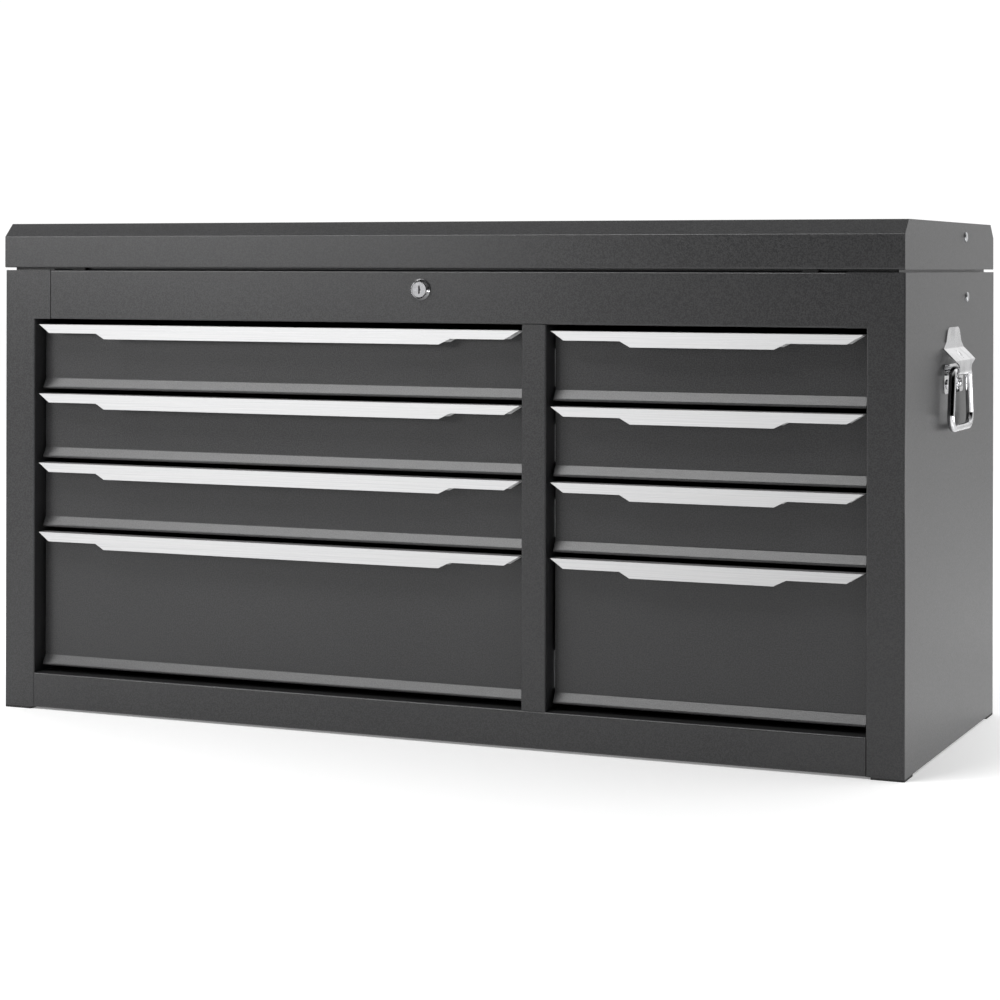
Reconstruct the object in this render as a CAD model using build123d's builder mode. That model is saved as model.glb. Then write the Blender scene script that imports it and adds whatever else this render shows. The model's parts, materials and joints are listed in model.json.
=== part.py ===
from build123d import *
from math import atan2, cos, degrees, hypot, radians, sin, sqrt, tan
import os

os.makedirs("parts", exist_ok=True)

# Front frame: two posts, a divider and two rails around the drawer openings
POST_WIDTH = 34.0
LEFT_OPENING = 522.0
DIVIDER_WIDTH = 24.0
RIGHT_OPENING = 296.0
TOP_RAIL = 48.0
BOTTOM_RAIL = 34.0
SHOULDER_WIDTH = 52.0
BODY_DEPTH = 355.0
FOOT_HEIGHT = 2.0
FOOT_SIZE = 30.0

# Sheet metal
SHEET = 1.0
BEND_INSIDE = 0.6
POST_RETURN = 40.0
RAIL_RETURN = 30.0
RIM_FLANGE = 7.5
REAR_FLANGE = 14.0
BASE_FLANGE = 16.0
TILL_FLANGE = 7.0
SEAM_GAP = 0.3
RAIL_SEAM = 0.8

# Drawer rows, from the top row down
SMALL_FRONT = 64.0
TALL_FRONT = 133.0
SMALL_ROWS = 3
ROW_GAP = 4.5
TOP_GAP = 5.5
BOTTOM_GAP = 6.0

# Drawer front and box
FRONT_CLEARANCE = 3.0
FACE_SETBACK = 16.0
LEDGE_REACH = 5.0
LEDGE_HEIGHT = 8.2
LEDGE_LIP_BENDS = 1.35
FRONT_RETURN = 5.0
BOX_REAR_SPACE = 26.0
BOX_LIFT = 6.0
BOX_DROP = 10.0
BOX_HEM = 6.0

# Drawer handle strip
HANDLE_WALL = 1.2
HANDLE_SETBACK = 3.0
HANDLE_LEAN = 23.0
HANDLE_DROP = 13.8
HANDLE_END_DROP = 8.5
HANDLE_MITRE = 14.0
HANDLE_END_LENGTH = 68.0
HANDLE_STEP = 10.5
HANDLE_LEG = 12.0
HANDLE_EDGE = 0.8

# Drawer runners
RUNNER_BEHIND_FRONT = 1.0
RUNNER_SHORT = 5.0
RUNNER_HEIGHT = 36.0
RUNNER_DEPTH = 10.0
RUNNER_WALL = 1.2
RUNNER_LIP = 5.0
RUNNER_PLAY = 0.4
RUNNER_LIP_PLAY = 0.8
RUNNER_WEB = 18.8
RUNNER_PROUD = 3.0
RUNNER_RISE = 24.0
UPRIGHT_WIDTH = 30.0
UPRIGHT_FLANGE = 10.0
UPRIGHT_OVERLAP = 5.0

# Lid
LID_GAP = 2.5
LID_HEIGHT = 43.5
LID_BEVEL = 13.0
LID_OVERHANG = 1.25
LIP_PLAY = 0.8
BUMPER_LENGTH = 14.0
BUMPER_INSET = 25.0
BUMPER_PLAY = 0.3

# Long rear hinge
KNUCKLE_RADIUS = 2.5
KNUCKLE_LENGTH = 30.0
KNUCKLE_GAP = 0.4
HINGE_PIN_RADIUS = 1.25
HINGE_LEAF = 1.0
HINGE_LEAF_WIDTH = 18.0
HINGE_BEHIND = 0.5
HINGE_CLEARANCE = 0.4
RUNNING_FIT = 0.05

# Lid stays
STAY_BODY_AHEAD = 119.5
STAY_LID_AHEAD = 125.0
STAY_BODY_DROP = 23.0
STAY_LID_DROP = 13.0
STAY_WIDTH = 16.0
STAY_THICKNESS = 2.0
STAY_PLAY = 0.5
RIVET_RADIUS = 3.0
RIVET_HEAD_RADIUS = 4.5
RIVET_HEAD_HEIGHT = 1.4
RIVET_CROWN = 0.8

# Key lock
LOCK_DROP = 17.0
LOCK_PROUD = 4.0
LOCK_RIM = 1.2
LOCK_PLUG_RADIUS = 7.0
LOCK_PLUG_RECESS = 0.3
LOCK_FACE_RING = 1.2
LOCK_BARREL_WALL = 2.0
LOCK_BARREL_LENGTH = 20.0
LOCK_FLANGE = 1.0
LOCK_NUT_WALL = 3.5
LOCK_NUT_HEIGHT = 4.0
KEYWAY_WIDTH = 1.6
KEYWAY_HEIGHT = 7.5
KEYWAY_DEPTH = 9.0
CAM_GAP = 4.0
CAM_THICKNESS = 2.0
CAM_BOSS_RADIUS = 8.0
CAM_SEAT_RADIUS = 4.0
CAM_ARM_WIDTH = 9.0
CAM_HOOK_WIDTH = 3.0
CAM_HOOK_SWEEP = 30.0
CAM_HOOK_LIFT = 1.0
CATCH_SHEET = 1.5
CATCH_HEIGHT = 14.0
CATCH_MARGIN = 10.0
CATCH_PLAY = 1.2

# Drop handles on the sides
BRACKET_TOP_DROP = 50.0
BRACKET_SHEET = 1.2
BRACKET_UPPER_TAB = 19.0
BRACKET_TO_BAIL = 20.0
BRACKET_SLOPE = 45.0
BRACKET_TOP_WIDTH = 44.0
BRACKET_TOP_CORNER = 11.0
BRACKET_NECK_WIDTH = 60.0
BRACKET_NECK_DROP = 13.5
BRACKET_NECK_BEND = 8.0
BRACKET_FLARE_WIDTH = 80.0
BRACKET_FLARE_CORNER = 3.0
BRACKET_ARCH_WIDTH = 46.0
BRACKET_ARCH_RISE = 4.0
BRACKET_ARCH_BEND = 6.0
BRACKET_PLATE_WIDTH = 75.0
BRACKET_PLATE_ABOVE = 5.5
BRACKET_PLATE_BELOW = 21.0
BRACKET_PLATE_CORNER = 4.0
BRACKET_RIVET_SPAN = 55.0
BRACKET_RIVET_DROP = 12.5
BRACKET_DIMPLE_RADIUS = 5.0
BRACKET_DIMPLE_DEPTH = 1.5
BAIL_WIRE_RADIUS = 3.4
BAIL_DROP = 52.5
BAIL_SPLAY = 9.0
BAIL_TOP_BEND = 8.0
BAIL_BOTTOM_BEND = 12.0
BAIL_STANDOFF = 7.4
BAIL_END_PLAY = 1.0
BAIL_PLAY = 0.3

# Heights and widths worked out from the sizes above
BEND = SHEET + BEND_INSIDE
WIDTH = 2 * POST_WIDTH + LEFT_OPENING + DIVIDER_WIDTH + RIGHT_OPENING
HALF = WIDTH / 2
WALL = HALF - SHEET
FOLD_CLEAR = HALF - BEND
ROW_FRONTS = [SMALL_FRONT] * SMALL_ROWS + [TALL_FRONT]
OPENING_HEIGHT = TOP_GAP + sum(ROW_FRONTS) + ROW_GAP * SMALL_ROWS + BOTTOM_GAP
OPENING_BOTTOM = FOOT_HEIGHT + BOTTOM_RAIL
OPENING_TOP = OPENING_BOTTOM + OPENING_HEIGHT
RIM = OPENING_TOP + TOP_RAIL
LID_BOTTOM = RIM + LID_GAP
LID_TOP = LID_BOTTOM + LID_HEIGHT
LID_SHOULDER = LID_TOP - LID_BEVEL
FLOOR_TOP = FOOT_HEIGHT + 2 * SHEET
TILL_BOTTOM = OPENING_TOP + SHEET

# Edges of the two drawer openings
LEFT_EDGE = POST_WIDTH - HALF
DIVIDER_LEFT = LEFT_EDGE + LEFT_OPENING
DIVIDER_RIGHT = DIVIDER_LEFT + DIVIDER_WIDTH
RIGHT_EDGE = HALF - POST_WIDTH
COLUMNS = {"left": (LEFT_EDGE, DIVIDER_LEFT), "right": (DIVIDER_RIGHT, RIGHT_EDGE)}

# Depths, with the whole chest centred front to back
HANDLE_REACH = HANDLE_DROP * tan(radians(HANDLE_LEAN)) - HANDLE_SETBACK
FRONT_REACH = max(LOCK_PROUD, HANDLE_REACH, LID_OVERHANG)
REAR_REACH = HINGE_BEHIND + KNUCKLE_RADIUS
FRONT = FRONT_REACH - (FRONT_REACH + BODY_DEPTH + REAR_REACH) / 2
BACK = FRONT + BODY_DEPTH
BACK_PANEL = BACK - 2 * SHEET
FACE = FRONT + FACE_SETBACK
BOX_FRONT = FACE + SHEET
BOX_REAR = BACK_PANEL - BOX_REAR_SPACE
BOX_SIDE_SPACE = RUNNER_DEPTH + RUNNER_PROUD
RUNNER_FRONT = FACE + FRONT_RETURN + RUNNER_BEHIND_FRONT
RUNNER_REAR = BOX_REAR - RUNNER_SHORT
RUNNER_LENGTH = RUNNER_REAR - RUNNER_FRONT
UPRIGHT_REAR = RUNNER_REAR + UPRIGHT_OVERLAP
UPRIGHT_FRONT = UPRIGHT_REAR - UPRIGHT_WIDTH

# Hinge axis and the lid faces beside it
HINGE_Y = BACK + HINGE_BEHIND
HINGE_Z = RIM + LID_GAP / 2
HINGE_HALF = HALF - REAR_FLANGE - SEAM_GAP
KNUCKLE_COUNT = int(2 * HINGE_HALF // KNUCKLE_LENGTH)
KNUCKLE_PITCH = 2 * HINGE_HALF / KNUCKLE_COUNT
LEAF_START = KNUCKLE_RADIUS + HINGE_CLEARANCE
BACK_TOP = HINGE_Z - LEAF_START
LID_FRONT = FRONT - LID_OVERHANG
LID_REAR = HINGE_Y - LEAF_START

# Lip turned up all round the rim, just inside the hem of the closed lid
LID_HEM = LID_OVERHANG + RIM_FLANGE - LIP_PLAY
HEM_TOP = LID_BOTTOM + SHEET
LIP_TOP = HEM_TOP - LIP_PLAY
LIP_FRONT = FRONT + RIM_FLANGE
LIP_REAR = LID_REAR - LID_HEM - LIP_PLAY
LIP_OUTER = HALF - RIM_FLANGE
LIP_INNER = LIP_OUTER - SHEET

# Stay pivots as (y, z): body, lid and hinge make a parallelogram with the elbow
STAY_BODY = (HINGE_Y - STAY_BODY_AHEAD, RIM - STAY_BODY_DROP)
STAY_LID = (HINGE_Y - STAY_LID_AHEAD, LID_TOP - STAY_LID_DROP)
STAY_ELBOW = (STAY_BODY[0] + STAY_LID[0] - HINGE_Y, STAY_BODY[1] + STAY_LID[1] - HINGE_Z)
UPPER_LINK_OUTER = LIP_INNER - STAY_PLAY - RIVET_HEAD_HEIGHT - STAY_PLAY / 2
UPPER_LINK = UPPER_LINK_OUTER - STAY_THICKNESS
LOWER_LINK = UPPER_LINK - STAY_PLAY - STAY_THICKNESS

# Lock centre and radii, and a cam that clears the catch plate
LOCK_Z = RIM - LOCK_DROP
LOCK_FRONT = FRONT - LOCK_PROUD
LOCK_FACE_RADIUS = LOCK_PLUG_RADIUS + LOCK_FACE_RING
LOCK_BARREL_RADIUS = LOCK_PLUG_RADIUS + LOCK_BARREL_WALL
LOCK_BEZEL_RADIUS = LOCK_BARREL_RADIUS + LOCK_FLANGE
LOCK_NUT_RADIUS = LOCK_BARREL_RADIUS + LOCK_NUT_WALL
CATCH_TOP = HEM_TOP + CATCH_SHEET
CAM_HOOK_INNER = (CATCH_TOP - LOCK_Z + CAM_HOOK_LIFT) / cos(radians(CAM_HOOK_SWEEP))
CAM_HOOK_OUTER = CAM_HOOK_INNER + CAM_HOOK_WIDTH
CAM_FRONT = FRONT + LOCK_BARREL_LENGTH + CAM_GAP
CAM_REAR = CAM_FRONT + CAM_THICKNESS

# Drop handle: bail axis, the bracket's bends around it and the rivets of its wall plate
HANDLE_Y = FRONT + BODY_DEPTH / 2
BRACKET_TOP = RIM - BRACKET_TOP_DROP
BRACKET_LEAVE = BRACKET_TOP - BRACKET_UPPER_TAB
BRACKET_TAB_FACE = HALF + BRACKET_SHEET
BAIL_X = HALF + BAIL_STANDOFF
BAIL_Z = BRACKET_LEAVE - BRACKET_TO_BAIL
ARCH_RADIUS = BAIL_WIRE_RADIUS + BAIL_PLAY + BRACKET_SHEET
ARCH_LOW = BAIL_Z - ARCH_RADIUS
ARCH_FACE = BAIL_X + ARCH_RADIUS
ARCH_FACE_TOP = BRACKET_LEAVE - (ARCH_FACE - BRACKET_TAB_FACE) * tan(radians(BRACKET_SLOPE))
BRACKET_RIVET_Z = BAIL_Z - BRACKET_RIVET_DROP
BRACKET_RIVETS = [(HANDLE_Y + side * BRACKET_RIVET_SPAN / 2, BRACKET_RIVET_Z) for side in (-1, 1)]
BAIL_LEG = BRACKET_ARCH_WIDTH / 2 + BAIL_END_PLAY + BAIL_TOP_BEND


def save(piece, name):
    """Label a finished piece and write its file."""
    piece.part.label = name
    export_step(piece.part, f"parts/{name}.step")


def save_pair(right_piece, name):
    """Write a right-hand piece and its left-hand mirror image."""
    save(right_piece, f"right_{name}")
    with BuildPart() as left_piece:
        mirror(right_piece.part, about=Plane.YZ)
    save(left_piece, f"left_{name}")


def at_x(x):
    """Plane across the chest: its sketch runs along Y and Z, and it faces +X."""
    return Plane.YZ.offset(x)


def at_y(y):
    """Plane along the chest: its sketch runs along X and Z, and it faces the front."""
    return Plane.XZ.offset(-y)


def at_z(z):
    """Level plane: its sketch runs along X and Y, and it faces up."""
    return Plane.XY.offset(z)


def folded_sheet(plane, outline, length, wall=SHEET):
    """Sheet folded along an outline, with its thickness on the outline's left."""
    with BuildPart() as strip:
        with BuildSketch(plane):
            with BuildLine():
                FilletPolyline(*outline, radius=wall + BEND_INSIDE)
                offset(amount=wall, side=Side.LEFT)
            make_face()
        extrude(amount=length)
    return strip.part


def block(low, high):
    """Square-edged plate between two opposite corners."""
    with BuildPart() as plate:
        with BuildSketch(at_z(low[2])):
            with BuildLine():
                Polyline(low[:2], (high[0], low[1]), high[:2], (low[0], high[1]), close=True)
            make_face()
        extrude(amount=high[2] - low[2])
    return plate.part


def bar(plane, centre, radius, length):
    """Round bar that starts on a plane."""
    with BuildPart() as rod:
        with BuildSketch(plane):
            with Locations(centre):
                Circle(radius)
        extrude(amount=length)
    return rod.part


# Side panels: wall, front post with its return, flanges at the rear, base and rim, and the lip on the rim
with BuildPart() as side_panel:
    shoulder = HALF - SHOULDER_WIDTH
    wall_fold = [(HALF, FRONT), (HALF, BACK), (HALF - REAR_FLANGE, BACK)]
    post_fold = [(RIGHT_EDGE, FRONT + POST_RETURN), (RIGHT_EDGE, FRONT)] + wall_fold
    shoulder_fold = [(shoulder, FRONT)] + wall_fold
    add(folded_sheet(at_z(FOOT_HEIGHT), post_fold, OPENING_TOP - FOOT_HEIGHT))
    add(folded_sheet(at_z(OPENING_TOP), shoulder_fold, RIM - OPENING_TOP))
    add(block((HALF - BASE_FLANGE, FRONT + BEND, FOOT_HEIGHT), (WALL, BACK_PANEL, FOOT_HEIGHT + SHEET)))
    rim_low = RIM - SHEET
    add(block((LIP_OUTER, FRONT + BEND, rim_low), (WALL, BACK_PANEL, RIM)))
    add(block((shoulder, FRONT + SHEET, rim_low), (FOLD_CLEAR, LIP_FRONT, RIM)))
    add(block((LIP_INNER, LIP_FRONT, rim_low), (LIP_OUTER, LIP_REAR, LIP_TOP)))
    add(block((shoulder, LIP_FRONT, rim_low), (LIP_INNER, LIP_FRONT + SHEET, LIP_TOP)))
    with BuildSketch(at_x(HALF)):
        with Locations(STAY_BODY, *BRACKET_RIVETS):
            Circle(RIVET_RADIUS)
    extrude(amount=-SHEET, mode=Mode.SUBTRACT)
save_pair(side_panel, "side_panel")

# Back panel, folded forward at the top under the hinge, with the rear lip
with BuildPart() as back_panel:
    back_fold = [
        (BACK - SHEET, FLOOR_TOP),
        (BACK - SHEET, BACK_TOP),
        (LIP_REAR, BACK_TOP),
        (LIP_REAR, LIP_TOP),
    ]
    fold_half = LIP_INNER - SEAM_GAP
    add(folded_sheet(at_x(-fold_half), back_fold, 2 * fold_half))
    add(block((-FOLD_CLEAR, BACK_PANEL, FLOOR_TOP), (FOLD_CLEAR, BACK - SHEET, BACK_TOP - BEND)))
save(back_panel, "back_panel")

# Base panel, slotted round the post returns, on the base flanges and the bottom rail
with BuildPart() as base_panel:
    base_low = FOOT_HEIGHT + SHEET
    slot_width = SHEET + SEAM_GAP
    slot_rear = FRONT + POST_RETURN + SEAM_GAP
    add(block((-FOLD_CLEAR, FRONT + BEND, base_low), (FOLD_CLEAR, BACK - SHEET, FLOOR_TOP)))
    for slot in (LEFT_EDGE - slot_width, RIGHT_EDGE):
        post_slot = block((slot, FRONT + BEND, base_low), (slot + slot_width, slot_rear, FLOOR_TOP))
        add(post_slot, mode=Mode.SUBTRACT)
save(base_panel, "base_panel")

# Bottom rail between the posts
with BuildPart() as bottom_rail:
    bottom_fold = [
        (FRONT + RAIL_RETURN, OPENING_BOTTOM),
        (FRONT, OPENING_BOTTOM),
        (FRONT, FOOT_HEIGHT),
        (FRONT + RAIL_RETURN, FOOT_HEIGHT),
    ]
    add(folded_sheet(at_x(LEFT_EDGE), bottom_fold, RIGHT_EDGE - LEFT_EDGE))
save(bottom_rail, "bottom_rail")

# Top rail between the shoulders, with a seam at its left end, the front lip and the lock hole
with BuildPart() as top_rail:
    top_fold = [
        (LIP_FRONT, LIP_TOP),
        (LIP_FRONT, RIM),
        (FRONT, RIM),
        (FRONT, OPENING_TOP),
        (FRONT + RAIL_RETURN, OPENING_TOP),
    ]
    add(folded_sheet(at_x(RAIL_SEAM - shoulder), top_fold, 2 * shoulder - RAIL_SEAM))
    add(bar(at_y(FRONT + SHEET), (0, LOCK_Z), LOCK_BARREL_RADIUS + RUNNING_FIT, SHEET), mode=Mode.SUBTRACT)
save(top_rail, "top_rail")

# Centre divider: a deep channel whose webs carry the inner runners
with BuildPart() as centre_divider:
    channel = [
        (DIVIDER_LEFT, BACK_PANEL),
        (DIVIDER_LEFT, FRONT),
        (DIVIDER_RIGHT, FRONT),
        (DIVIDER_RIGHT, BACK_PANEL),
    ]
    add(folded_sheet(at_z(OPENING_BOTTOM), channel, OPENING_HEIGHT))
    web_front = FRONT + RAIL_RETURN + SEAM_GAP
    for web in (DIVIDER_LEFT, DIVIDER_RIGHT - SHEET):
        add(block((web, web_front, FLOOR_TOP), (web + SHEET, BACK_PANEL, TILL_BOTTOM)))
save(centre_divider, "centre_divider")

# Till floor under the lid, turned down at both ends
with BuildPart() as till_floor:
    till_top = TILL_BOTTOM + SHEET
    till_low = till_top - TILL_FLANGE
    till_fold = [(WALL, till_low), (WALL, till_top), (-WALL, till_top), (-WALL, till_low)]
    add(folded_sheet(at_y(BACK_PANEL), till_fold, BACK_PANEL - FRONT - BEND))
save(till_floor, "till_floor")

# Rear uprights that carry the back ends of the outer runners
with BuildPart() as rear_uprights:
    web_face = RIGHT_EDGE + SHEET
    hat = [
        (WALL, UPRIGHT_FRONT - UPRIGHT_FLANGE),
        (WALL, UPRIGHT_FRONT),
        (web_face, UPRIGHT_FRONT),
        (web_face, UPRIGHT_REAR),
        (WALL, UPRIGHT_REAR),
        (WALL, UPRIGHT_REAR + UPRIGHT_FLANGE),
    ]
    add(folded_sheet(at_z(FLOOR_TOP), hat, till_low - SEAM_GAP - FLOOR_TOP))
    mirror(about=Plane.YZ)
save(rear_uprights, "rear_uprights")

# Foot pads under the four corners
with BuildPart() as feet:
    foot_x = HALF - FOOT_SIZE / 2
    foot_y = (BODY_DEPTH - FOOT_SIZE) / 2
    with BuildSketch(Plane((0, FRONT + BODY_DEPTH / 2, 0))):
        with GridLocations(2 * foot_x, 2 * foot_y, 2, 2):
            RectangleRounded(FOOT_SIZE, FOOT_SIZE, BEND)
    extrude(amount=FOOT_HEIGHT)
save(feet, "feet")

# Rubber bumpers on the front rim, just under the lid
with BuildPart() as lid_bumpers:
    bumper_end = shoulder - BUMPER_INSET
    bumper_low = (bumper_end - BUMPER_LENGTH, FRONT + BEND, RIM)
    add(block(bumper_low, (bumper_end, LIP_FRONT - BEND, LID_BOTTOM - BUMPER_PLAY)))
    mirror(about=Plane.YZ)
save(lid_bumpers, "lid_bumpers")

# Lid skin: front skirt, bevel, top, rear bevel and rear skirt in one fold
LID_OUTLINE = [
    (LID_REAR, LID_BOTTOM),
    (LID_REAR, LID_SHOULDER),
    (LID_REAR - LID_BEVEL, LID_TOP),
    (LID_FRONT + LID_BEVEL, LID_TOP),
    (LID_FRONT, LID_SHOULDER),
    (LID_FRONT, LID_BOTTOM),
]
with BuildPart() as lid_skin:
    rear_hem = (LID_REAR - LID_HEM, LID_BOTTOM)
    front_hem = (LID_FRONT + LID_HEM, LID_BOTTOM)
    add(folded_sheet(at_x(-WALL), [rear_hem] + LID_OUTLINE + [front_hem], 2 * WALL))
save(lid_skin, "lid_skin")

# Lid ends: plates to the same outline, with a short flange along the bottom
with BuildPart() as lid_end:
    with BuildSketch(at_x(WALL)):
        with BuildLine():
            FilletPolyline(*LID_OUTLINE, radius=BEND, close=True)
        make_face()
    extrude(amount=SHEET)
    flange_low = (LIP_OUTER + LIP_PLAY, LID_FRONT + LID_HEM + SEAM_GAP, LID_BOTTOM)
    add(block(flange_low, (WALL, LID_REAR - LID_HEM - SEAM_GAP, HEM_TOP)))
    add(bar(at_x(WALL), STAY_LID, RIVET_RADIUS, SHEET), mode=Mode.SUBTRACT)
save_pair(lid_end, "lid_end")


# Rear hinge: two leaves with alternate knuckles on one long pin
def hinge_leaf(leaf_y, up, first):
    """Leaf plate with every second knuckle, above or below the pin."""
    plate = sorted((HINGE_Z + up * LEAF_START, HINGE_Z + up * HINGE_LEAF_WIDTH))
    tab = sorted((HINGE_Z, HINGE_Z + up * LEAF_START))
    axis = (HINGE_Y, HINGE_Z)
    with BuildPart() as leaf:
        add(block((-HINGE_HALF, leaf_y, plate[0]), (HINGE_HALF, leaf_y + HINGE_LEAF, plate[1])))
        for index in range(first, KNUCKLE_COUNT, 2):
            start = -HINGE_HALF + index * KNUCKLE_PITCH + KNUCKLE_GAP / 2
            length = KNUCKLE_PITCH - KNUCKLE_GAP
            add(block((start, leaf_y, tab[0]), (start + length, leaf_y + HINGE_LEAF, tab[1])))
            add(bar(at_x(start), axis, KNUCKLE_RADIUS, length))
        bore = bar(at_x(-HINGE_HALF), axis, HINGE_PIN_RADIUS + RUNNING_FIT, 2 * HINGE_HALF)
        add(bore, mode=Mode.SUBTRACT)
    return leaf


save(hinge_leaf(BACK - SHEET, -1, 0), "hinge_body_leaf")
save(hinge_leaf(LID_REAR, 1, 1), "hinge_lid_leaf")

with BuildPart() as hinge_pin:
    add(bar(at_x(-HINGE_HALF), (HINGE_Y, HINGE_Z), HINGE_PIN_RADIUS, 2 * HINGE_HALF))
save(hinge_pin, "hinge_pin")


# Lid stays: flat links with a round hole at each end
def stay_link(start, end, inner_face):
    """Link between two pivots on the right side of the chest."""
    run = hypot(end[0] - start[0], end[1] - start[1])
    slope = degrees(atan2(end[1] - start[1], end[0] - start[0]))
    middle = ((start[0] + end[0]) / 2, (start[1] + end[1]) / 2)
    with BuildPart() as link:
        with BuildSketch(at_x(inner_face)):
            with Locations(middle):
                SlotCenterToCenter(run, STAY_WIDTH, rotation=slope)
            with Locations(start, end):
                Circle(RIVET_RADIUS + RUNNING_FIT, mode=Mode.SUBTRACT)
        extrude(amount=STAY_THICKNESS)
    return link


def stay_rivets(pivot, inner_face):
    """Rivets from the outside of both walls to a link, with a collar behind the wall."""
    link_face = inner_face + STAY_THICKNESS + STAY_PLAY / 2
    tail_face = inner_face - STAY_PLAY / 2
    with BuildPart() as rivets:
        add(bar(at_x(tail_face), pivot, RIVET_RADIUS, HALF - tail_face))
        add(bar(at_x(link_face), pivot, RIVET_HEAD_RADIUS, WALL - link_face))
        add(bar(at_x(tail_face), pivot, RIVET_HEAD_RADIUS, -RIVET_HEAD_HEIGHT))
        add(bar(at_x(HALF), pivot, RIVET_HEAD_RADIUS, RIVET_HEAD_HEIGHT))
        fillet(rivets.faces().sort_by(Axis.X)[-1].edges(), RIVET_CROWN * RIVET_HEAD_HEIGHT)
        mirror(about=Plane.YZ)
    return rivets


save_pair(stay_link(STAY_BODY, STAY_ELBOW, LOWER_LINK), "stay_lower_link")
save_pair(stay_link(STAY_LID, STAY_ELBOW, UPPER_LINK), "stay_upper_link")
save(stay_rivets(STAY_BODY, LOWER_LINK), "stay_body_rivets")
save(stay_rivets(STAY_LID, UPPER_LINK), "stay_lid_rivets")

with BuildPart() as stay_elbow_rivets:
    elbow_inner = LOWER_LINK - STAY_PLAY / 2
    elbow_outer = UPPER_LINK_OUTER + STAY_PLAY / 2
    add(bar(at_x(elbow_inner), STAY_ELBOW, RIVET_RADIUS, elbow_outer - elbow_inner))
    add(bar(at_x(elbow_inner), STAY_ELBOW, RIVET_HEAD_RADIUS, -RIVET_HEAD_HEIGHT))
    add(bar(at_x(elbow_outer), STAY_ELBOW, RIVET_HEAD_RADIUS, RIVET_HEAD_HEIGHT))
    mirror(about=Plane.YZ)
save(stay_elbow_rivets, "stay_elbow_rivets")

# Lock body: bevelled bezel in front of the rail and a barrel behind it
with BuildPart() as lock_body:
    lock_bore = LOCK_PLUG_RADIUS + RUNNING_FIT
    lock_end = FRONT + LOCK_BARREL_LENGTH
    with BuildSketch(Plane.YZ):
        with BuildLine():
            Polyline(
                (LOCK_FRONT, LOCK_Z + lock_bore),
                (LOCK_FRONT, LOCK_Z + LOCK_FACE_RADIUS),
                (FRONT - LOCK_RIM, LOCK_Z + LOCK_BEZEL_RADIUS),
                (FRONT, LOCK_Z + LOCK_BEZEL_RADIUS),
                (FRONT, LOCK_Z + LOCK_BARREL_RADIUS),
                (lock_end, LOCK_Z + LOCK_BARREL_RADIUS),
                (lock_end, LOCK_Z + lock_bore),
                close=True,
            )
        make_face()
    revolve(axis=Axis((0, 0, LOCK_Z), (0, 1, 0)))
save(lock_body, "lock_body")

with BuildPart() as lock_nut:
    with BuildSketch(at_y(FRONT + SHEET + LOCK_NUT_HEIGHT)):
        with Locations((0, LOCK_Z)):
            RegularPolygon(LOCK_NUT_RADIUS, 6)
            Circle(LOCK_BARREL_RADIUS + RUNNING_FIT, mode=Mode.SUBTRACT)
    extrude(amount=LOCK_NUT_HEIGHT)
save(lock_nut, "lock_nut")

# Lock plug with its keyway, and a narrow seat for the cam at the back
with BuildPart() as lock_plug:
    plug_front = LOCK_FRONT + LOCK_PLUG_RECESS
    add(bar(at_y(CAM_FRONT), (0, LOCK_Z), LOCK_PLUG_RADIUS, CAM_FRONT - plug_front))
    add(bar(at_y(CAM_REAR), (0, LOCK_Z), CAM_SEAT_RADIUS, CAM_THICKNESS))
    with BuildSketch(at_y(plug_front + KEYWAY_DEPTH)):
        with Locations((0, LOCK_Z)):
            Rectangle(KEYWAY_WIDTH, KEYWAY_HEIGHT)
        with Locations((KEYWAY_WIDTH / 2, LOCK_Z)):
            Rectangle(KEYWAY_WIDTH, KEYWAY_WIDTH)
    extrude(amount=KEYWAY_DEPTH, mode=Mode.SUBTRACT)
save(lock_plug, "lock_plug")

# Cam: an arm with a curved hook that rises through the catch and turns over it
with BuildPart() as lock_cam:
    with BuildSketch(at_y(CAM_REAR)):
        cam_centre = (0, LOCK_Z)
        with Locations(cam_centre):
            Circle(CAM_BOSS_RADIUS)
        with Locations((CAM_HOOK_OUTER / 2, LOCK_Z)):
            Rectangle(CAM_HOOK_OUTER, CAM_ARM_WIDTH)
        with BuildLine():
            inner_arc = CenterArc(cam_centre, CAM_HOOK_INNER, 0, CAM_HOOK_SWEEP)
            outer_arc = CenterArc(cam_centre, CAM_HOOK_OUTER, 0, CAM_HOOK_SWEEP)
            Line(inner_arc @ 0, outer_arc @ 0)
            Line(inner_arc @ 1, outer_arc @ 1)
        make_face()
        with Locations(cam_centre):
            Circle(CAM_HOOK_OUTER, mode=Mode.INTERSECT)
            Circle(CAM_SEAT_RADIUS, mode=Mode.SUBTRACT)
    extrude(amount=CAM_THICKNESS)
save(lock_cam, "lock_cam")

# Catch inside the lid, with the slot that the cam rises through
with BuildPart() as lid_catch:
    slot_left = -CAM_ARM_WIDTH / 2 - CATCH_PLAY
    slot_right = sqrt(CAM_HOOK_OUTER**2 - (HEM_TOP - LOCK_Z) ** 2) + CATCH_PLAY
    catch_left = -CAM_HOOK_OUTER * sin(radians(CAM_HOOK_SWEEP)) - CATCH_MARGIN
    catch_right = slot_right + CATCH_MARGIN
    catch_fold = [
        (LID_FRONT + SHEET, HEM_TOP + CATCH_HEIGHT),
        (LID_FRONT + SHEET, HEM_TOP),
        (CAM_REAR + CATCH_MARGIN, HEM_TOP),
    ]
    add(folded_sheet(at_x(catch_left), catch_fold, catch_right - catch_left, wall=CATCH_SHEET))
    slot_low = (slot_left, CAM_FRONT - CATCH_PLAY, HEM_TOP)
    add(block(slot_low, (slot_right, CAM_REAR + CATCH_PLAY, CATCH_TOP)), mode=Mode.SUBTRACT)
save(lid_catch, "lid_catch")

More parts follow.
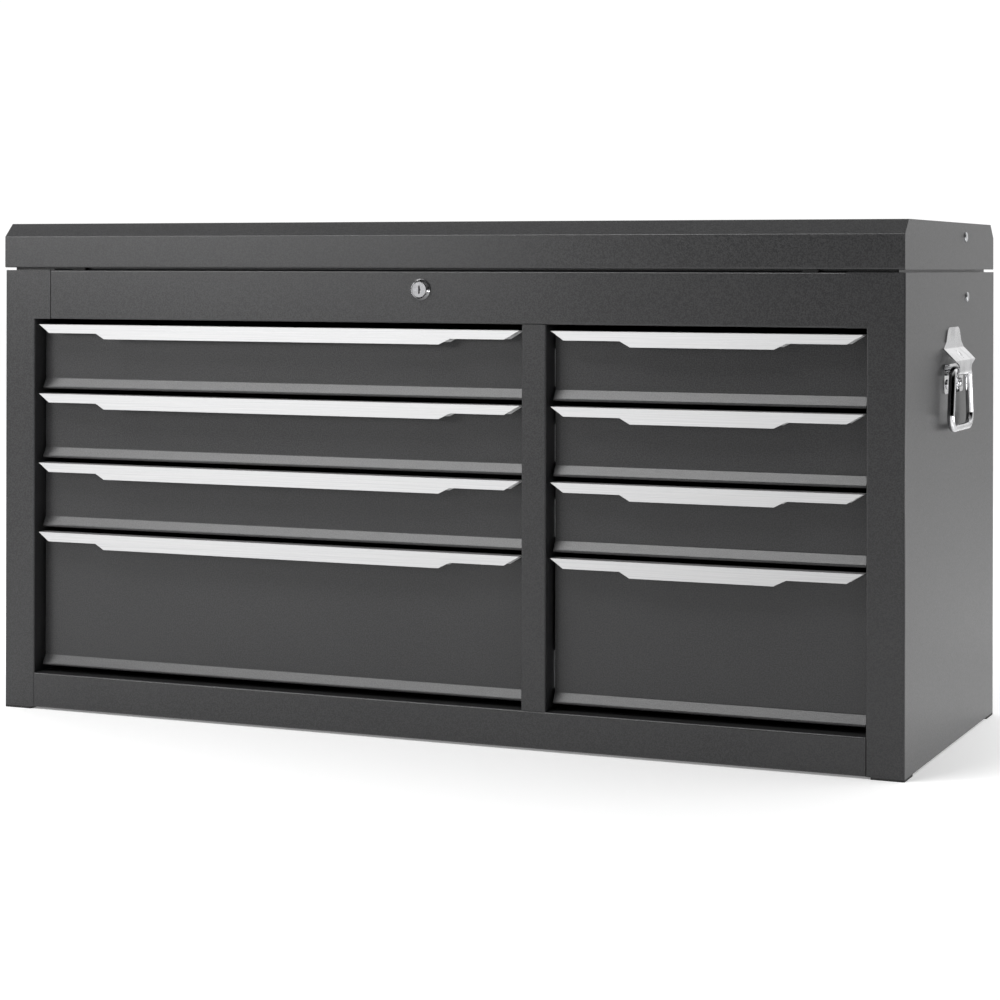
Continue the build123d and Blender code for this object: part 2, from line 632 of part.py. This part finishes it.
# Drop-handle bracket: a tab on the wall runs out to a face, curls round the bail and ends on the wall plate
with BuildPart() as handle_bracket:
    curl = [
        (HALF, ARCH_LOW),
        (ARCH_FACE, ARCH_LOW),
        (ARCH_FACE, ARCH_FACE_TOP),
        (BRACKET_TAB_FACE, BRACKET_LEAVE),
        (BRACKET_TAB_FACE, BRACKET_TOP),
    ]
    with BuildSketch(at_y(HANDLE_Y + BRACKET_FLARE_WIDTH / 2)):
        with BuildLine():
            FilletPolyline(*curl, radius=[ARCH_RADIUS, BEND, BEND])
            offset(amount=BRACKET_SHEET, side=Side.LEFT)
        make_face()
    extrude(amount=BRACKET_FLARE_WIDTH)
    with BuildSketch(Plane((HALF, HANDLE_Y, 0), x_dir=(0, 1, 0), z_dir=(1, 0, 0))):
        with BuildLine():
            half_outline = FilletPolyline(
                (0, BRACKET_TOP),
                (BRACKET_TOP_WIDTH / 2, BRACKET_TOP),
                (BRACKET_NECK_WIDTH / 2, BRACKET_TOP - BRACKET_NECK_DROP),
                (BRACKET_FLARE_WIDTH / 2, BRACKET_LEAVE),
                (BRACKET_FLARE_WIDTH / 2, ARCH_FACE_TOP),
                (BRACKET_ARCH_WIDTH / 2, BAIL_Z + BRACKET_ARCH_RISE),
                (BRACKET_ARCH_WIDTH / 2, ARCH_LOW),
                (0, ARCH_LOW),
                radius=[
                    BRACKET_TOP_CORNER,
                    BRACKET_NECK_BEND,
                    BEND,
                    BRACKET_FLARE_CORNER,
                    BRACKET_ARCH_BEND,
                    0,
                ],
            )
            mirror(half_outline, about=Plane.YZ)
        make_face()
    extrude(amount=ARCH_FACE - HALF, mode=Mode.INTERSECT)
    plate_height = BRACKET_PLATE_ABOVE + BRACKET_PLATE_BELOW
    with BuildSketch(at_x(HALF)):
        with Locations((HANDLE_Y, BAIL_Z + BRACKET_PLATE_ABOVE - plate_height / 2)):
            RectangleRounded(BRACKET_PLATE_WIDTH, plate_height, BRACKET_PLATE_CORNER)
        with Locations(*BRACKET_RIVETS):
            Circle(RIVET_RADIUS, mode=Mode.SUBTRACT)
    extrude(amount=BRACKET_SHEET)

# Dimple pressed into the middle of the bracket's slope
DIMPLE_BALL = (BRACKET_DIMPLE_RADIUS**2 + BRACKET_DIMPLE_DEPTH**2) / (2 * BRACKET_DIMPLE_DEPTH)
SLOPE_PLANE = Plane(
    ((BRACKET_TAB_FACE + ARCH_FACE) / 2, HANDLE_Y, (BRACKET_LEAVE + ARCH_FACE_TOP) / 2),
    x_dir=(0, 1, 0),
    z_dir=(sin(radians(BRACKET_SLOPE)), 0, cos(radians(BRACKET_SLOPE))),
)
DIMPLE_CENTRE = SLOPE_PLANE.from_local_coords((0, 0, DIMPLE_BALL - BRACKET_DIMPLE_DEPTH))
with BuildPart() as dimple_cup:
    with Locations(DIMPLE_CENTRE):
        Sphere(DIMPLE_BALL + BRACKET_SHEET)
    split(bisect_by=SLOPE_PLANE, keep=Keep.BOTTOM)
with BuildPart() as dimpled_bracket:
    add(handle_bracket.part)
    add(dimple_cup.part)
    with Locations(DIMPLE_CENTRE):
        Sphere(DIMPLE_BALL, mode=Mode.SUBTRACT)
save_pair(dimpled_bracket, "handle_bracket")

# Two rivets through the wall plate of each bracket
with BuildPart() as handle_rivets:
    for rivet in BRACKET_RIVETS:
        add(bar(at_x(WALL), rivet, RIVET_RADIUS, BRACKET_TAB_FACE - WALL))
        add(bar(at_x(WALL), rivet, RIVET_HEAD_RADIUS, -RIVET_HEAD_HEIGHT))
        add(bar(at_x(BRACKET_TAB_FACE), rivet, RIVET_HEAD_RADIUS, RIVET_HEAD_HEIGHT))
    for head in handle_rivets.faces().group_by(Axis.X)[-1]:
        fillet(head.edges(), RIVET_CROWN * RIVET_HEAD_HEIGHT)
    mirror(about=Plane.YZ)
save(handle_rivets, "handle_rivets")

# Bail: a wire ring that hangs from the bracket
with BuildPart() as bail:
    with BuildLine(Plane((BAIL_X, HANDLE_Y, BAIL_Z), x_dir=(0, 1, 0), z_dir=(1, 0, 0))) as half_ring:
        FilletPolyline(
            (0, 0),
            (BAIL_LEG, 0),
            (BAIL_LEG + BAIL_SPLAY, -BAIL_DROP),
            (0, -BAIL_DROP),
            radius=[BAIL_TOP_BEND, BAIL_BOTTOM_BEND],
        )
    with BuildSketch(Plane(origin=half_ring.line @ 0, z_dir=half_ring.line % 0)):
        Circle(BAIL_WIRE_RADIUS)
    sweep()
    mirror(about=at_y(HANDLE_Y))
save_pair(bail, "bail")


# Drawers and their runners
def rows():
    """Row number, bottom and top of each drawer front, from the top row down."""
    top = OPENING_TOP - TOP_GAP
    for row, height in enumerate(ROW_FRONTS, start=1):
        yield row, top - height, top
        top -= height + ROW_GAP


def placed_outline(points, edge, height, inward):
    """Runner outline set on an opening edge, facing into the opening."""
    placed = [(edge + inward * across, height + rise) for across, rise in points]
    return placed if inward > 0 else placed[::-1]


def outer_runner(edge, height, inward):
    """Channel fixed to the cabinet."""
    half = RUNNER_HEIGHT / 2
    section = [
        (RUNNER_DEPTH, half - RUNNER_LIP),
        (RUNNER_DEPTH, half),
        (0, half),
        (0, -half),
        (RUNNER_DEPTH, -half),
        (RUNNER_DEPTH, RUNNER_LIP - half),
    ]
    outline = placed_outline(section, edge, height, inward)
    return folded_sheet(at_y(RUNNER_REAR), outline, RUNNER_LENGTH, wall=RUNNER_WALL)


def inner_runner(edge, height, inward):
    """Hat section fixed to the drawer, running inside the channel."""
    half = RUNNER_HEIGHT / 2 - RUNNER_WALL - RUNNER_PLAY
    web = RUNNER_WEB / 2
    brim = RUNNER_DEPTH - RUNNER_WALL - RUNNER_LIP_PLAY
    section = [
        (brim, -half),
        (brim, -web),
        (BOX_SIDE_SPACE, -web),
        (BOX_SIDE_SPACE, web),
        (brim, web),
        (brim, half),
    ]
    outline = placed_outline(section, edge, height, inward)
    return folded_sheet(at_y(RUNNER_REAR), outline, RUNNER_LENGTH, wall=RUNNER_WALL)


def drawer_box(left, right, bottom, top):
    """Folded front and open-topped box of one drawer."""
    lip = LEDGE_LIP_BENDS * BEND
    ledge = FACE - LEDGE_REACH
    front_fold = [
        (FACE + FRONT_RETURN, top),
        (FACE, top),
        (FACE, bottom + lip + LEDGE_HEIGHT),
        (ledge, bottom + lip),
        (ledge, bottom),
        (FACE + FRONT_RETURN, bottom),
    ]
    front_length = right - left - 2 * FRONT_CLEARANCE
    low_x = left + BOX_SIDE_SPACE
    high_x = right - BOX_SIDE_SPACE
    low_z = bottom + BOX_LIFT
    high_z = top - BOX_DROP
    with BuildPart() as box:
        add(block((low_x, BOX_FRONT, low_z), (high_x, BOX_REAR, high_z)))
        hollow = (low_x + SHEET, BOX_FRONT, low_z + SHEET)
        add(block(hollow, (high_x - SHEET, BOX_REAR - SHEET, high_z)), mode=Mode.SUBTRACT)
        for hem in (low_x + SHEET, high_x - 2 * SHEET):
            add(block((hem, BOX_FRONT, high_z - BOX_HEM), (hem + SHEET, BOX_REAR - SHEET, high_z)))
        add(folded_sheet(at_x(left + FRONT_CLEARANCE), front_fold, front_length))
    return box


def drawer_handle(left, right, top):
    """Aluminium strip along the top of a drawer front, deeper in the middle."""
    start = left + FRONT_CLEARANCE
    end = right - FRONT_CLEARANCE
    step = HANDLE_END_LENGTH + HANDLE_STEP
    section = [
        (FACE, top - HANDLE_LEG),
        (FACE, top),
        (FRONT + HANDLE_SETBACK, top),
        (FRONT - HANDLE_REACH, top - HANDLE_DROP),
    ]
    with BuildPart() as handle:
        with BuildSketch(at_x(start)):
            with BuildLine():
                Polyline(*section)
                offset(amount=HANDLE_WALL, side=Side.LEFT)
            make_face()
        extrude(amount=end - start)
        fillet(handle.edges().filter_by(Axis.X).group_by(Axis.Z)[-1].sort_by(Axis.Y)[0], HANDLE_EDGE)
        with BuildSketch(at_y(FACE)):
            with BuildLine():
                Polyline(
                    (start, top),
                    (start + HANDLE_MITRE, top - HANDLE_END_DROP),
                    (start + HANDLE_END_LENGTH, top - HANDLE_END_DROP),
                    (start + step, top - HANDLE_DROP),
                    (end - step, top - HANDLE_DROP),
                    (end - HANDLE_END_LENGTH, top - HANDLE_END_DROP),
                    (end - HANDLE_MITRE, top - HANDLE_END_DROP),
                    (end, top),
                    close=True,
                )
            make_face()
        extrude(amount=FACE_SETBACK + HANDLE_REACH, mode=Mode.INTERSECT)
    return handle


def runner_height(bottom):
    """Middle of a drawer's runners."""
    return bottom + BOX_LIFT + RUNNER_RISE


for column, (left, right) in COLUMNS.items():
    with BuildPart() as outer_runners:
        for row, bottom, top in rows():
            add(outer_runner(left, runner_height(bottom), 1))
            add(outer_runner(right, runner_height(bottom), -1))
    save(outer_runners, f"{column}_outer_runners")
    for row, bottom, top in rows():
        name = f"{column}_drawer_{row}"
        save(drawer_box(left, right, bottom, top), f"{name}_box")
        save(drawer_handle(left, right, top), f"{name}_handle")
        with BuildPart() as runners:
            add(inner_runner(left, runner_height(bottom), 1))
            add(inner_runner(right, runner_height(bottom), -1))
        save(runners, f"{name}_runners")
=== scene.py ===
import json
from math import radians

import bmesh
import bpy
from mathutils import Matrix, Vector

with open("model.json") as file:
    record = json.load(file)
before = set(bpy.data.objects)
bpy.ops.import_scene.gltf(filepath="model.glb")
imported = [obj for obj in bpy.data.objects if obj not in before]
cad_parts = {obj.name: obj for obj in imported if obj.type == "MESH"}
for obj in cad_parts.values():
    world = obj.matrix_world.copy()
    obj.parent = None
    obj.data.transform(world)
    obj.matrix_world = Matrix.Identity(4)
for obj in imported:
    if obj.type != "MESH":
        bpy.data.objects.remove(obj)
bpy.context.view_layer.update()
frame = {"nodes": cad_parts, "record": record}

# Camera of the photograph, whose frame is a square with the lens axis above its middle
FRAME_PIXELS = 1000
SENSOR_WIDTH = 36.0
FOCAL_PIXELS = 2489
AXIS_ROW = 267
CAMERA_AT = (0.972, -2.259, 0.438)
CAMERA_TURN = radians(23.2)
CAMERA_ROLL = radians(0.12)

# Paper floor with a painted glow that washes out the chest's shadow on it; the glow grows over one stretch
# of Y and fades over one stretch of X
FLOOR_HALF = 14.0
FLOOR_PALE = (0.92, 0.92, 0.92, 1)
FLOOR_PALEST = (0.94, 0.94, 0.94, 1)
FLOOR_CLOUD = 0.8
FLOOR_ROUGHNESS = 0.85
FLOOR_GLOW = 0.50
GLOW_NEAR = (0.45, 0.45, 0.45, 1)
GLOW_FAR = (1, 1, 1, 1)
GLOW_REARWARD = (-0.2, 0.5)
GLOW_RIGHTWARD = (0.3, 0.8)

# Surround: each light's strength, and the stretch of a direction's X, Y or Z over which it changes
SURROUND_WHITE = (1, 1, 1, 1)
BACK_LIGHT = 1.04
BACK_STRETCH = (-0.1, 0.6)
BACK_RIGHT_SHARE = 0.65
RIGHT_STRETCH = (-0.05, 0.35)
TOP_LIGHT = 0.34
TOP_STRETCH = (0.4, 0.9)

# Each softbox as its centre, the point it faces, its width, its height and its power
SOFTBOXES = {
    "overhead_box": ((-1.05, -1.40, 2.15), (-1.05, -0.18, 0.30), 2.2, 0.7, 48.0),
    "left_front_box": ((-1.30, -1.40, 0.75), (-0.40, -0.18, 0.42), 0.5, 0.5, 4.2),
    "middle_front_box": ((-0.75, -1.55, 0.62), (0.00, -0.18, 0.42), 0.6, 0.3, 2.5),
    "rear_right_box": ((1.60, 1.50, 1.20), (0.60, 0.20, 0.10), 1.2, 1.2, 3.0),
    "low_right_box": ((0.85, 0.00, 0.22), (0.455, 0.00, 0.05), 0.5, 0.12, 0.9),
}

# Middle stretch of a noise, from which most patterns are taken
NOISE_MIDDLE = (0.3, 0.7)

# Powder coat of the sheet metal: patterns per metre, and relief as its depth and its strength
COAT_DARK = (0.018, 0.018, 0.019, 1)
COAT_LIGHT = (0.036, 0.036, 0.037, 1)
COAT_GRAIN = 900
COAT_SPECK = 2400
COAT_CLOUD = 7
COAT_GRAIN_SHARE = 0.7
COAT_TONES = (0.1, 0.9)
COAT_ROUGHNESS = (0.28, 0.36)
COAT_RELIEF = (0.0003, 0.3)

# Aluminium of the handle strips, brushed along X
ALUMINIUM_DARK = (0.43, 0.43, 0.435, 1)
ALUMINIUM_LIGHT = (0.56, 0.56, 0.56, 1)
ALUMINIUM_BRUSHING = (9, 1600, 1600)
ALUMINIUM_ROUGHNESS = (0.54, 0.66)
ALUMINIUM_RELIEF = (0.0001, 0.3)

# Chrome of the drop handles and the lock body
CHROME_CLEAN = (0.68, 0.68, 0.69, 1)
CHROME_SMEARED = (0.50, 0.50, 0.51, 1)
CHROME_SMEAR = 60
CHROME_SMEAR_STRETCH = (0.4, 0.7)
CHROME_RIPPLE = 240
CHROME_ROUGHNESS = (0.06, 0.16)
CHROME_RELIEF = (0.0002, 0.25)

# Nickel of the lock plug, with marks along Y
NICKEL_DARK = (0.30, 0.30, 0.31, 1)
NICKEL_LIGHT = (0.44, 0.44, 0.45, 1)
NICKEL_METAL = 0.5
NICKEL_MARKS = (1500, 20, 1500)
NICKEL_ROUGHNESS = (0.30, 0.42)
NICKEL_RELIEF = (0.0001, 0.2)

# Zinc of the runners, the hinge, the lid stays and the inner pieces of the lock
ZINC_DARK = (0.48, 0.49, 0.50, 1)
ZINC_LIGHT = (0.63, 0.64, 0.65, 1)
ZINC_BLOTCH = 120
ZINC_BLOTCH_STRETCH = (0.35, 0.65)
ZINC_SCRATCHES = (20, 900, 900)
ZINC_ROUGHNESS = (0.28, 0.44)
ZINC_RELIEF = (0.0001, 0.2)

# Rubber of the foot pads and the lid bumpers
RUBBER_DARK = (0.010, 0.010, 0.010, 1)
RUBBER_LIGHT = (0.028, 0.028, 0.028, 1)
RUBBER_GRAIN = 900
RUBBER_ROUGHNESS = (0.75, 0.90)
RUBBER_RELIEF = (0.0002, 0.4)


class Shade:
    """Output of a shader node. Arithmetic on it adds Math nodes to the same tree."""

    def __init__(self, tree, socket):
        self.tree = tree
        self.socket = socket

    def __add__(self, other):
        return self.tree.maths("ADD", self, other)

    def __radd__(self, other):
        return self.tree.maths("ADD", other, self)

    def __sub__(self, other):
        return self.tree.maths("SUBTRACT", self, other)

    def __rsub__(self, other):
        return self.tree.maths("SUBTRACT", other, self)

    def __mul__(self, other):
        return self.tree.maths("MULTIPLY", self, other)

    def __rmul__(self, other):
        return self.tree.maths("MULTIPLY", other, self)


class ShaderTree:
    """Node tree of a finish or of the surround."""

    def __init__(self, owner):
        owner.use_nodes = True
        self.owner = owner
        self.nodes = owner.node_tree.nodes
        self.links = owner.node_tree.links

    def feed(self, socket, value):
        """Link a shade to a socket, or set the socket to a fixed value."""
        if isinstance(value, Shade):
            self.links.new(value.socket, socket)
        else:
            socket.default_value = value

    def node(self, kind, settings=(), inputs=(), output=0):
        """Add a node, set it up, feed its sockets and return one of its outputs."""
        node = self.nodes.new(kind)
        for name, value in dict(settings).items():
            setattr(node, name, value)
        for socket, value in dict(inputs).items():
            self.feed(node.inputs[socket], value)
        return Shade(self, node.outputs[output])

    def maths(self, operation, first, second):
        return self.node("ShaderNodeMath", {"operation": operation}, {0: first, 1: second})

    def step(self, value, low, high):
        """Smooth step from 0 to 1 as a value goes from low to high."""
        limits = {"Value": value, "From Min": low, "From Max": high}
        return self.node("ShaderNodeMapRange", {"interpolation_type": "SMOOTHSTEP"}, limits)

    def along(self, axis, vector):
        """Part of a vector along X, Y or Z."""
        return self.node("ShaderNodeSeparateXYZ", inputs={0: vector}, output=axis)

    def mix(self, share, first, second):
        """Colour between two colours."""
        return self.node("ShaderNodeMix", {"data_type": "RGBA"}, {0: share, 6: first, 7: second}, output=2)


class Finish(ShaderTree):
    """Material with one main shader, whose even settings are given by name."""

    def __init__(self, name, **settings):
        super().__init__(bpy.data.materials.new(name))
        self.shader = self.nodes["Principled BSDF"]
        self.paint(**settings)

    def paint(self, **sockets):
        """Feed sockets of the main shader, with an underscore for each space in a name."""
        for socket, value in sockets.items():
            self.feed(self.shader.inputs[socket.replace("_", " ")], value)

    def place(self, stretch=(1, 1, 1)):
        """Place on the piece in metres, stretched along X, Y and Z."""
        where = self.node("ShaderNodeTexCoord", output="Object")
        return self.node("ShaderNodeMapping", inputs={"Vector": where, "Scale": stretch})

    def noise(self, place, scale=1.0, detail=2.0, roughness=0.5):
        inputs = {"Vector": place, "Scale": scale, "Detail": detail, "Roughness": roughness}
        return self.node("ShaderNodeTexNoise", inputs=inputs)

    def emboss(self, height, depth, strength):
        """Raise the surface by a height pattern."""
        bump = {"Height": height, "Distance": depth, "Strength": strength}
        self.paint(Normal=self.node("ShaderNodeBump", inputs=bump))


def between(share, low, high):
    """Value between two numbers."""
    return low + (high - low) * share


def powder_coat():
    """Dark charcoal paint with a fine grain."""
    coat = Finish("powder_coat", IOR=1.5)
    place = coat.place()
    grain = coat.noise(place, COAT_GRAIN, detail=1.0)
    speck = coat.noise(place, COAT_SPECK, detail=0.0)
    cloud = coat.noise(place, COAT_CLOUD, detail=3.0)
    rough = coat.step(grain, *NOISE_MIDDLE)
    rest = 1 - COAT_GRAIN_SHARE
    tone = coat.step(COAT_GRAIN_SHARE * rough + rest * cloud, *COAT_TONES)
    coat.paint(
        Base_Color=coat.mix(tone, COAT_DARK, COAT_LIGHT),
        Roughness=between(rough, *COAT_ROUGHNESS),
    )
    coat.emboss(COAT_GRAIN_SHARE * grain + rest * speck, *COAT_RELIEF)
    return coat.owner


def brushed_aluminium():
    """Bare aluminium brushed along its length."""
    metal = Finish("brushed_aluminium", Metallic=1.0)
    streaks = metal.noise(metal.place(ALUMINIUM_BRUSHING), detail=3.0, roughness=0.6)
    bright = metal.step(streaks, *NOISE_MIDDLE)
    metal.paint(
        Base_Color=metal.mix(bright, ALUMINIUM_DARK, ALUMINIUM_LIGHT),
        Roughness=between(bright, *ALUMINIUM_ROUGHNESS),
    )
    metal.emboss(streaks, *ALUMINIUM_RELIEF)
    return metal.owner


def chrome_plate():
    """Bright plate with faint smears."""
    plate = Finish("chrome_plate", Metallic=1.0)
    place = plate.place()
    smear = plate.step(plate.noise(place, CHROME_SMEAR, detail=3.0), *CHROME_SMEAR_STRETCH)
    ripple = plate.noise(place, CHROME_RIPPLE, detail=1.0)
    plate.paint(
        Base_Color=plate.mix(smear, CHROME_CLEAN, CHROME_SMEARED),
        Roughness=between(smear, *CHROME_ROUGHNESS),
    )
    plate.emboss(ripple, *CHROME_RELIEF)
    return plate.owner


def satin_nickel():
    """Pale satin plate with fine marks."""
    plate = Finish("satin_nickel", Metallic=NICKEL_METAL)
    marks = plate.noise(plate.place(NICKEL_MARKS))
    shine = plate.step(marks, *NOISE_MIDDLE)
    plate.paint(
        Base_Color=plate.mix(shine, NICKEL_DARK, NICKEL_LIGHT),
        Roughness=between(shine, *NICKEL_ROUGHNESS),
    )
    plate.emboss(marks, *NICKEL_RELIEF)
    return plate.owner


def zinc_plate():
    """Satin zinc with a blotchy sheen."""
    plate = Finish("zinc_plate", Metallic=1.0)
    blotches = plate.noise(plate.place(), ZINC_BLOTCH, detail=4.0, roughness=0.6)
    sheen = plate.step(blotches, *ZINC_BLOTCH_STRETCH)
    scratches = plate.noise(plate.place(ZINC_SCRATCHES))
    plate.paint(
        Base_Color=plate.mix(sheen, ZINC_DARK, ZINC_LIGHT),
        Roughness=between(sheen, *ZINC_ROUGHNESS),
    )
    plate.emboss(scratches, *ZINC_RELIEF)
    return plate.owner


def black_rubber():
    """Matt rubber."""
    rubber = Finish("black_rubber")
    grain = rubber.noise(rubber.place(), RUBBER_GRAIN)
    rubber.paint(
        Base_Color=rubber.mix(grain, RUBBER_DARK, RUBBER_LIGHT),
        Roughness=between(grain, *RUBBER_ROUGHNESS),
    )
    rubber.emboss(grain, *RUBBER_RELIEF)
    return rubber.owner


def glowing_pale_floor():
    """Plain paper with a painted glow, strongest behind the chest, which washes out the chest's shadow and
    lights the chest from below.
    """
    paper = Finish("glowing_pale_floor", Roughness=FLOOR_ROUGHNESS, Emission_Strength=FLOOR_GLOW)
    place = paper.place()
    cloud = paper.noise(place, FLOOR_CLOUD)
    rear = paper.step(paper.along("Y", place), *GLOW_REARWARD)
    right = paper.step(paper.along("X", place), *GLOW_RIGHTWARD)
    paper.paint(
        Base_Color=paper.mix(cloud, FLOOR_PALE, FLOOR_PALEST),
        # Painted glow, dimmer towards the front and towards the right
        Emission_Color=paper.mix(rear * (1 - right), GLOW_NEAR, GLOW_FAR),
    )
    return paper.owner


FINISHES = {
    "powder_coat": powder_coat(),
    "handle_aluminium": brushed_aluminium(),
    "chrome": chrome_plate(),
    "zinc": zinc_plate(),
    "rubber": black_rubber(),
}


def dress(piece, finish):
    """Give a piece one finish."""
    piece.data.materials.clear()
    piece.data.materials.append(finish)


for entry in frame["record"]["subparts"]:
    dress(frame["nodes"][entry["node"]], FINISHES[entry["material_slot"]])
dress(frame["nodes"]["lock_plug"], satin_nickel())


def add_floor():
    shape = bmesh.new()
    bmesh.ops.create_grid(shape, x_segments=1, y_segments=1, size=FLOOR_HALF)
    mesh = bpy.data.meshes.new("floor")
    shape.to_mesh(mesh)
    shape.free()
    floor = bpy.data.objects.new("floor", mesh)
    bpy.context.scene.collection.objects.link(floor)
    dress(floor, glowing_pale_floor())


def add_surround():
    """Surround that is bright behind the chest, less so on the right, and a little overhead."""
    world = bpy.data.worlds.new("surround")
    bpy.context.scene.world = world
    studio = ShaderTree(world)
    direction = studio.node("ShaderNodeTexCoord", output="Generated")
    behind = BACK_LIGHT * studio.step(studio.along("Y", direction), *BACK_STRETCH)
    right = studio.step(studio.along("X", direction), *RIGHT_STRETCH)
    above = TOP_LIGHT * studio.step(studio.along("Z", direction), *TOP_STRETCH)
    background = studio.nodes["Background"].inputs
    studio.feed(background["Strength"], behind * between(right, 1, BACK_RIGHT_SHARE) + above)
    studio.feed(background["Color"], SURROUND_WHITE)


def add_softbox(name, at, towards, width, height, power):
    """Rectangular lamp that faces a point."""
    lamp = bpy.data.lights.new(name, "AREA")
    lamp.shape = "RECTANGLE"
    lamp.size = width
    lamp.size_y = height
    lamp.energy = power
    box = bpy.data.objects.new(name, lamp)
    box.location = at
    box.rotation_euler = (Vector(towards) - Vector(at)).to_track_quat("-Z", "Y").to_euler()
    box.visible_camera = False
    bpy.context.scene.collection.objects.link(box)


def add_camera():
    """Level camera with a shifted lens, which keeps upright edges upright."""
    lens = bpy.data.cameras.new("photo_camera")
    lens.sensor_width = SENSOR_WIDTH
    lens.lens = SENSOR_WIDTH * FOCAL_PIXELS / FRAME_PIXELS
    lens.shift_y = (AXIS_ROW - FRAME_PIXELS / 2) / FRAME_PIXELS
    camera = bpy.data.objects.new("photo_camera", lens)
    camera.location = CAMERA_AT
    camera.rotation_euler = (radians(90), -CAMERA_ROLL, CAMERA_TURN)
    bpy.context.scene.collection.objects.link(camera)
    bpy.context.scene.camera = camera


add_floor()
add_surround()
for name, (at, towards, width, height, power) in SOFTBOXES.items():
    add_softbox(name, at, towards, width, height, power)
add_camera()
bpy.context.scene.view_settings.view_transform = "Standard"
